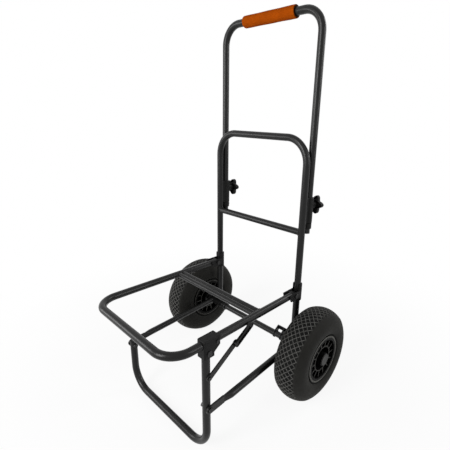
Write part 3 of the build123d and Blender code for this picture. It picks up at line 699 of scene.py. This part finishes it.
@dataclass
class TreadTyre:
    """Foam tyre whose tread has raised lines crossing in diamonds."""

    side: Side
    axle: Vector
    middle_x: float
    radius: float = 130 * MM
    half_width: float = 45 * MM
    sidewall_radius: float = 95 * MM
    shoulder: float = 31.5 * MM
    shoulder_drop: float = 9 * MM
    lip_half: float = 41.6 * MM
    lip_radius: float = 71 * MM
    groove_half: float = 38.6 * MM
    groove_radius: float = 69.8 * MM
    flange_radius: float = 66.1 * MM
    bead_half: float = 36.9 * MM
    barrel_radius: float = 58.1 * MM
    around: int = 832
    crown_points: int = 62
    wall_points: int = 15
    cells_around: int = 52
    cell_width: float = 14.5 * MM
    line_width: float = 0.14
    line_height: float = 1.7 * MM
    tread_half: float = 31.3 * MM
    tread_fade: float = 5 * MM
    crown_margin: float = 0.1 * MM
    skin: bpy.types.Material | None = field(default=None, repr=False)

    def profile(self) -> np.ndarray:
        """Closed section, from one bead over the groove, sidewall and crown to the other bead.

        Each point is its offset along the axle and its radius.

        Returns:
            The section's points, one row each.
        """
        lip = (self.lip_half, self.lip_radius)
        shoulder = (self.shoulder, self.radius - self.shoulder_drop)
        wall = arc_points(lip, (self.half_width, self.sidewall_radius), shoulder, self.wall_points)
        far = (-self.shoulder, self.radius - self.shoulder_drop)
        crown = arc_points(shoulder, (0.0, self.radius), far, self.crown_points)
        bead = np.array([
            [self.bead_half, self.barrel_radius],
            [self.bead_half, self.flange_radius],
            [self.groove_half, self.groove_radius],
        ])
        half = np.concatenate([bead, wall[:-1]])
        mirrored = half[::-1] * np.array([-1.0, 1.0])
        return np.concatenate([half, crown, mirrored])

    def build(self) -> bpy.types.Object:
        """Carry the section round the axle and press the tread's cells in.

        A point's phase in each of the two families of lines is the cells around times its share of
        a turn, plus or minus its offset over the cell width. It stands on a line where a phase is
        near a whole number, and the skin between lines is pressed in by the line height, fading
        out at the tread's edges.

        Returns:
            The tyre.
        """
        section = self.profile()
        turn = full_turn(self.around)
        offset = np.broadcast_to(section[:, :1], (len(section), self.around))
        reach = np.broadcast_to(section[:, 1:], offset.shape)
        share = self.cells_around * turn[None, :] / (2 * np.pi)
        nearness = [
            np.abs((share + sign * offset / self.cell_width + 0.5) % 1.0 - 0.5) for sign in (-1, 1)
        ]
        beside = (np.minimum(*nearness) - self.line_width / 4) / (self.line_width / 2)
        line = 1.0 - np.clip(beside, 0.0, 1.0)
        outer = reach > self.radius - self.shoulder_drop - self.crown_margin
        tread = np.clip((self.tread_half - np.abs(offset)) / self.tread_fade, 0.0, 1.0) * outer
        # Factor of painted shade in the groove by the rim, full at its bottom.
        groove_depth = self.lip_radius - self.groove_radius
        groove = np.clip((self.lip_radius - reach) / groove_depth, 0.0, 1.0)
        reach = reach - (1.0 - line) * tread * self.line_height
        points = np.stack([
            self.middle_x + offset,
            self.axle.y + reach * np.cos(turn),
            self.axle.z + reach * np.sin(turn),
        ], axis=-1)
        tyre = mesh_piece(f"tread_tyre_{self.side.word}", points.reshape(-1, 3),
                          ring_grid(len(section), self.around, closed_rows=True)[:, ::-1])
        carry(tyre, "raised_line", line * tread)
        # The cells between lines and the groove carry the factor of their painted shade.
        carry(tyre, "pressed_in", np.maximum((1.0 - line) * tread, groove))
        return tyre

    def dress(self) -> bpy.types.Object:
        """Build the tyre in place of its CAD node and give it its skin.

        Returns:
            The tyre.
        """
        tyre = self.build()
        tyre.data.materials.append(self.skin)
        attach(tyre, f"wheel_{self.side.word}")
        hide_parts(f"wheel_tyre_{self.side.word}")
        return tyre


@dataclass
class FoamGrip:
    """Foam sleeve pushed over the handle's top bar."""

    middle: Vector
    half_length: float
    radius: float = 15 * MM
    bore: float = 9.55 * MM
    end_round: float = 3 * MM
    swell: float = 0.35 * MM
    swell_per_metre: float = 90.0
    cut_from: float = 0.35
    cut_fade: float = 0.25
    along_points: int = 61
    round_points: int = 9
    around: int = 64
    skin: bpy.types.Material | None = field(default=None, repr=False)

    def build(self) -> bpy.types.Object:
        """Carry a rounded section along the bar.

        The outside radius is the sleeve's radius less a shallow cosine swell, dropping through a
        quarter circle at each end to the bore, which closes the sleeve inside. Painted shade is
        marked on the ends over the last third of the round.

        Returns:
            The grip.
        """
        straight = self.half_length - self.end_round
        run = np.linspace(-1.0, 1.0, self.along_points) * straight
        outside = self.radius - self.swell * (0.5 - 0.5 * np.cos(run * self.swell_per_metre))
        quarter = np.linspace(0.0, np.pi / 2, self.round_points)[1:]
        tip_x = straight + self.end_round * np.sin(quarter)
        tip_r = outside[-1] - self.end_round * (1.0 - np.cos(quarter))
        along = np.concatenate([-tip_x[::-1], run, tip_x, [self.half_length, -self.half_length]])
        reach = np.concatenate([tip_r[::-1], outside, tip_r, [self.bore, self.bore]])
        turn = full_turn(self.around)
        ones = np.ones(self.around)
        points = np.stack([
            self.middle.x + along[:, None] * ones,
            self.middle.y + reach[:, None] * np.cos(turn),
            self.middle.z + reach[:, None] * np.sin(turn),
        ], axis=-1)
        faces = ring_grid(len(along), self.around, closed_rows=True)
        grip = mesh_piece("foam_grip", points.reshape(-1, 3), faces)
        # Factor of painted shade on the rounded ends.
        end_shade_start = self.half_length - self.cut_from * self.end_round
        past = (np.abs(along) - end_shade_start) / (self.cut_fade * self.end_round)
        carry(grip, "cut_end", np.clip(past, 0.0, 1.0)[:, None] * ones)
        return grip

    def dress(self) -> bpy.types.Object:
        """Returns:
            The grip.
        """
        grip = self.build()
        grip.data.materials.append(self.skin)
        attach(grip, "handle")
        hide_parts("handle_grip")
        return grip


@dataclass(frozen=True)
class LeaningFrame:
    """The truck's own axes, in millimetres from the axle.

    X runs along the axle, y to the rear and z up the uprights.
    """

    axle: Vector
    lean_sin: float
    lean_cos: float

    def world(self, points: np.ndarray) -> np.ndarray:
        """Turn points by the lean and shift them to the axle.

        Args:
            points: Points in the leaning axes, last axis x, y, z, in millimetres.

        Returns:
            The points in metres in the scene.
        """
        x, y, z = np.moveaxis(np.asarray(points, float) * MM, -1, 0)
        return np.stack([
            x,
            self.axle.y + y * self.lean_cos + z * self.lean_sin,
            self.axle.z - y * self.lean_sin + z * self.lean_cos,
        ], axis=-1)


@dataclass
class StarKnob:
    """Five-pointed clamp knob, hollow on the side that faces its guide, with a collar on its stud.

    Sizes are in millimetres. The collar, head and button are rings, each as a pair of radius, or
    inset from the star, and depth behind the front.
    """

    side: Side
    at: tuple[float, float] = (163.0, 398.0)
    front: float = 60.3
    tip_radius: float = 26.0
    valley_radius: float = 17.2
    points: int = 5
    around: int = 240
    collar: tuple[tuple[float, float], ...] = ((9.4, 0.0), (10.0, 0.6), (10.0, 12.4), (10.6, 13.0))
    head: tuple[tuple[float, float], ...] = (
        (3.8, 13.0), (3.2, 12.4), (2.8, 7.2), (2.4, 6.5), (1.6, 6.1),
        (1.0, 6.0), (0.4, 6.3), (0.05, 7.2), (0.0, 8.4), (0.0, 15.6),
        (0.25, 17.0), (0.9, 18.3), (2.0, 19.3), (3.4, 19.9), (4.8, 20.0),
    )
    button: tuple[tuple[float, float], ...] = ((9.0, 20.0), (8.4, 19.7), (7.9, 19.3), (7.3, 19.3))
    skin: bpy.types.Material | None = field(default=None, repr=False)

    def build(self, axes: LeaningFrame) -> bpy.types.Object:
        """Carry a ring along the stud, from circles through stars and back to circles.

        The star's radius at an angle is the valley radius plus a share of the way to the tip,
        which is half of one plus the cosine of five times the angle. A head ring is that star less
        an inset. The collar's and the button's rings are circles, and flat caps close both ends.

        Args:
            axes: The truck's leaning axes.

        Returns:
            The knob.
        """
        angle = full_turn(self.around)
        lobe = 0.5 + 0.5 * np.cos(self.points * angle)
        star = self.valley_radius + (self.tip_radius - self.valley_radius) * lobe
        collar, head, button = (np.array(rings) for rings in (self.collar, self.head, self.button))
        round_ring = np.ones_like(angle)
        reach = np.concatenate([
            collar[:, :1] * round_ring,
            star - head[:, :1],
            button[:, :1] * round_ring,
        ])
        depth = np.concatenate([collar, head, button])[:, 1:] * round_ring
        points = np.stack([
            self.side.value * self.at[0] + reach * np.cos(angle),
            self.front + depth,
            self.at[1] + reach * np.sin(angle),
        ], axis=-1)
        rows = len(reach)
        first = np.arange(self.around)
        caps = (first, (rows - 1) * self.around + first[::-1])
        return mesh_piece(f"star_knob_{self.side.word}", axes.world(points).reshape(-1, 3),
                          ring_grid(rows, self.around, closed_rows=False)[:, ::-1], caps)

    def dress(self, axes: LeaningFrame) -> bpy.types.Object:
        """Build the knob in place of its CAD node and give it its skin.

        Args:
            axes: The truck's leaning axes.

        Returns:
            The knob.
        """
        knob = self.build(axes)
        knob.data.materials.append(self.skin)
        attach(knob, f"knob_{self.side.word}")
        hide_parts(f"clamp_knob_{self.side.word}")
        return knob


class Along(Enum):
    """Which of the leaning axes the tube that carries a weld runs along."""

    Y = "y"
    Z = "z"


@dataclass(frozen=True)
class Seam:
    """Where a cross member ends on a frame tube: its place in y and z, in millimetres."""

    name: str
    body: str
    carrier: Along
    at: tuple[float, float]
    member_radius: float


SEAMS = (
    Seam("weld_crossbar", "back_frame", Along.Z, (20.0, 327.0), 9.0),
    Seam("weld_cross_tube_front", "platform", Along.Y, (-149.52, 150.0), 7.5),
    Seam("weld_cross_tube_rear", "platform", Along.Y, (-134.48, 150.0), 7.5),
)


@dataclass
class WeldBead:
    """Rippled bead round the end of a cross member, with its sizes in millimetres."""

    seam: Seam
    side: Side
    carrier_radius: float = 9.5
    carrier_x: float = 163.0
    across_limit: float = 9.4
    bead_radius: float = 1.6
    ripple_share: float = 0.16
    ripples: int = 22
    thin_from: float = 0.55
    thin_over: float = 0.3
    thin_least: float = 0.12
    around: int = 176
    section: int = 12
    coat: bpy.types.Material | None = field(default=None, repr=False)

    def build(self, axes: LeaningFrame) -> bpy.types.Object:
        """Carry a small round section along the seam.

        The seam is the curve where the member's cylinder meets the carrier's: at each angle round
        the member, the carrier's surface lies the square root of its radius squared less the
        squared offset across it from its axis. The section's radius ripples with the angle, and
        thins to a trace at the rear of an upright, where the handle's clips slide past.

        Args:
            axes: The truck's leaning axes.

        Returns:
            The bead.
        """
        angle, turn = full_turn(self.around), full_turn(self.section)
        y, z = np.cos(angle), np.sin(angle)
        upright = self.seam.carrier is Along.Z
        across = self.seam.member_radius * (y if upright else z)
        across = np.clip(across, -self.across_limit, self.across_limit)
        depth = self.carrier_x - np.sqrt(self.carrier_radius ** 2 - across ** 2)
        size = self.bead_radius * (1.0 + self.ripple_share * np.cos(self.ripples * angle))
        if upright:
            size = size * np.clip((self.thin_from - y) / self.thin_over, self.thin_least, 1.0)
        out = self.seam.member_radius + size[:, None] * np.cos(turn)
        points = np.stack([
            self.side.value * (depth[:, None] - size[:, None] * np.sin(turn)),
            self.seam.at[0] + out * y[:, None],
            self.seam.at[1] + out * z[:, None],
        ], axis=-1)
        faces = ring_grid(self.around, self.section, closed_rows=True)
        faces = faces if self.side is Side.LEFT else faces[:, ::-1]
        name = f"{self.seam.name}_{self.side.word}"
        return mesh_piece(name, axes.world(points).reshape(-1, 3), faces)

    def dress(self, axes: LeaningFrame) -> bpy.types.Object:
        """Build the bead, painted over with the frame.

        Args:
            axes: The truck's leaning axes.

        Returns:
            The bead.
        """
        bead = self.build(axes)
        bead.data.materials.append(self.coat)
        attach(bead, self.seam.body)
        return bead


@dataclass
class PhotoCamera:
    """The photograph's camera, from the fit of the truck's tube lines."""

    focal_pixels: float = 338.741
    yaw: float = 41.91
    pitch: float = 21.087
    roll: float = -1.072
    place: tuple[float, float, float] = (652.259 * MM, -511.957 * MM, 790.61 * MM)
    centre_pixels: tuple[float, float] = (265.0, 229.117)
    sensor: float = 36.0

    def build(self) -> None:
        """Aim the camera by yaw, pitch and roll, and shift it to the photo's optical centre."""
        yaw, pitch, roll = (math.radians(angle) for angle in (self.yaw, self.pitch, self.roll))
        flat = math.cos(pitch)
        back = Vector((math.sin(yaw) * flat, -math.cos(yaw) * flat, math.sin(pitch)))
        level = Vector((math.cos(yaw), math.sin(yaw), 0.0))
        above = back.cross(level)
        right = level * math.cos(roll) + above * math.sin(roll)
        up = above * math.cos(roll) - level * math.sin(roll)
        data = bpy.data.cameras.new("photo_camera")
        data.sensor_width = self.sensor
        data.lens = self.focal_pixels / PHOTO_PIXELS * self.sensor
        half = PHOTO_PIXELS / 2
        data.shift_x = (half - self.centre_pixels[0]) / PHOTO_PIXELS
        data.shift_y = (self.centre_pixels[1] - half) / PHOTO_PIXELS
        camera = bpy.data.objects.new("photo_camera", data)
        turn = Matrix((right, up, back)).transposed().to_4x4()
        camera.matrix_world = Matrix.Translation(Vector(self.place)) @ turn
        bpy.context.scene.collection.objects.link(camera)
        bpy.context.scene.camera = camera


@dataclass(frozen=True)
class SoftBox:
    """One soft lamp: its name, place, width, height and power."""

    name: str
    place: tuple[float, float, float]
    width: float
    height: float
    power: float


@dataclass
class Studio:
    """Pale floor, white surround and soft lamps."""

    floor_half: float = 6.0
    floor_tone: float = 0.92
    shadow_share: float = 0.1
    shade_radius: float = 0.35
    white_radius: float = 1.1
    sky_tone: float = 0.14
    aim: tuple[float, float, float] = (0.0, 0.1, 0.6)
    lamps: tuple[SoftBox, ...] = (
        SoftBox("front_box", (-0.2, -2.1, 1.5), 0.9, 1.5, 48.0),
        SoftBox("left_box", (-1.95, -1.75, 1.0), 1.1, 1.0, 19.0),
        SoftBox("side_box", (2.2, 0.9, 1.15), 0.5, 1.4, 13.0),
        SoftBox("rear_box", (0.8, 2.2, 1.5), 0.9, 1.2, 18.0),
    )

    def sky(self) -> None:
        """White where it is seen, and a softer grey where it lights."""
        world = bpy.data.worlds.new("studio_sky")
        graph = Graph(world, "ShaderNodeOutputWorld")
        light = graph.add("ShaderNodeBackground")
        light.inputs["Color"].default_value = (1.0, 1.0, 1.0, 1.0)
        strength = graph.spread(graph.seen(), self.sky_tone, 1.0)
        graph.join(strength, light.inputs["Strength"])
        graph.join(light.outputs["Background"], graph.output.inputs["Surface"])
        bpy.context.scene.world = world

    def floor(self) -> None:
        """Pale floor that looks white, and keeps a faint shadow near the truck."""
        signs = np.array([[-1, -1, 0], [1, -1, 0], [1, 1, 0], [-1, 1, 0]])
        corners = self.floor_half * signs
        floor = mesh_piece("studio_floor", corners, np.array([[0, 1, 2, 3]]), smooth=False)
        graph = MaterialGraph("studio_floor")
        paint = graph.add("ShaderNodeBsdfDiffuse")
        paint.inputs["Color"].default_value = (*[self.floor_tone] * 3, 1.0)
        glow = graph.add("ShaderNodeEmission")
        length = graph.add("ShaderNodeVectorMath", operation="LENGTH")
        graph.join(graph.place(), length.inputs[0])
        away = graph.step(length.outputs["Value"], self.shade_radius, self.white_radius)
        white = graph.spread(away, 1.0 - self.shadow_share, 1.0)
        mix = graph.add("ShaderNodeMixShader")
        graph.join(graph.reckon("MULTIPLY", graph.seen(), white), mix.inputs["Fac"])
        graph.join(paint.outputs["BSDF"], mix.inputs[1])
        graph.join(glow.outputs["Emission"], mix.inputs[2])
        graph.join(mix.outputs["Shader"], graph.output.inputs["Surface"])
        floor.data.materials.append(graph.material)

    def light(self) -> None:
        """Hang the soft boxes, each aimed at the truck's middle."""
        aim = Vector(self.aim)
        for box in self.lamps:
            data = bpy.data.lights.new(box.name, "AREA")
            data.shape = "RECTANGLE"
            data.size = box.width
            data.size_y = box.height
            data.energy = box.power
            lamp = bpy.data.objects.new(box.name, data)
            lamp.location = box.place
            lamp.visible_camera = False
            lamp.rotation_euler = (aim - Vector(box.place)).to_track_quat("-Z", "Y").to_euler()
            bpy.context.scene.collection.objects.link(lamp)

    def build(self) -> None:
        """Set the sky, floor, lamps and plain view transform."""
        self.sky()
        self.floor()
        self.light()
        bpy.context.scene.view_settings.view_transform = "Standard"


@dataclass
class Truck:
    """The whole truck: CAD nodes with their finishes, and the pieces that replace or join them."""

    frame: dict
    finishes: dict[Coat, bpy.types.Material] = field(default_factory=dict)
    slots: dict[str, Coat] = field(default_factory=lambda: {
        "black_paint": Coat.TUBE,
        "black_plastic": Coat.MOULDING,
        "zinc_steel": Coat.FASTENER,
        "rim_plastic": Coat.RIM,
        "cap_plastic": Coat.CAP,
    })

    def joint(self, name: str) -> dict:
        """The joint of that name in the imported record."""
        return next(joint for joint in self.frame["joints"] if joint["name"] == name)

    @property
    def axle(self) -> Vector:
        """The axle's middle, from the wheels' joint."""
        place = self.joint("wheel_right_spin")["pos_m"]
        return Vector((0.0, place[1], place[2]))

    @property
    def axes(self) -> LeaningFrame:
        """The truck's leaning axes, from the way the handle slides."""
        slide = self.joint("handle_slide")["axis"]
        return LeaningFrame(self.axle, slide[1], slide[2])

    def paint(self) -> None:
        """Give every CAD node the finish of its material slot."""
        axle = self.axle
        wheel_x = self.joint("wheel_right_spin")["pos_m"][0]
        self.finishes = {
            Coat.TUBE: PowderCoat().make(),
            Coat.MOULDING: MouldedPlastic().make(),
            Coat.FASTENER: BlackedSteel().make(),
            Coat.RIM: RimPlastic(axle.y, axle.z, wheel_x).make(),
            Coat.CAP: CAP_PLASTIC.make(),
        }
        for part in self.frame["record"]["subparts"]:
            coat = self.slots.get(part["material_slot"])
            if coat is None:
                continue
            data = self.frame["nodes"][part["node"]].data
            data.materials.clear()
            data.materials.append(self.finishes[coat])

    def tyres(self) -> None:
        """Fit both treaded tyres."""
        skin = TyreFoam().make()
        for side in Side:
            low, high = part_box(f"wheel_tyre_{side.word}")
            tyre = TreadTyre(side, self.axle, (low.x + high.x) / 2, skin=skin).dress()
            LOG.info("fitted %s with %d faces", tyre.name, len(tyre.data.polygons))

    def welds(self) -> None:
        """Run the beads where the crossbar and the platform's cross tubes meet the frame tubes."""
        axes, coat = self.axes, self.finishes[Coat.TUBE]
        for side in Side:
            for seam in SEAMS:
                bead = WeldBead(seam, side, coat=coat).dress(axes)
                LOG.info("welded %s", bead.name)

    def knobs(self) -> None:
        """Fit both star knobs on their studs."""
        axes = self.axes
        skin = KNOB_PLASTIC.make()
        for side in Side:
            knob = StarKnob(side, skin=skin).dress(axes)
            LOG.info("fitted %s", knob.name)

    def grip(self) -> None:
        """Fit the foam grip on the handle's top bar."""
        low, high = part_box("handle_grip")
        grip = FoamGrip((low + high) / 2, (high.x - low.x) / 2, skin=GripFoam().make()).dress()
        LOG.info("fitted %s", grip.name)


def main() -> None:
    """Load the frame, dress the truck and set the stage."""
    logging.basicConfig(level=logging.INFO, format="%(name)s: %(message)s")
    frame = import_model()
    truck = Truck(frame)
    truck.paint()
    truck.tyres()
    truck.knobs()
    truck.grip()
    truck.welds()
    Studio().build()
    PhotoCamera().build()


if __name__ == "__main__":
    main()
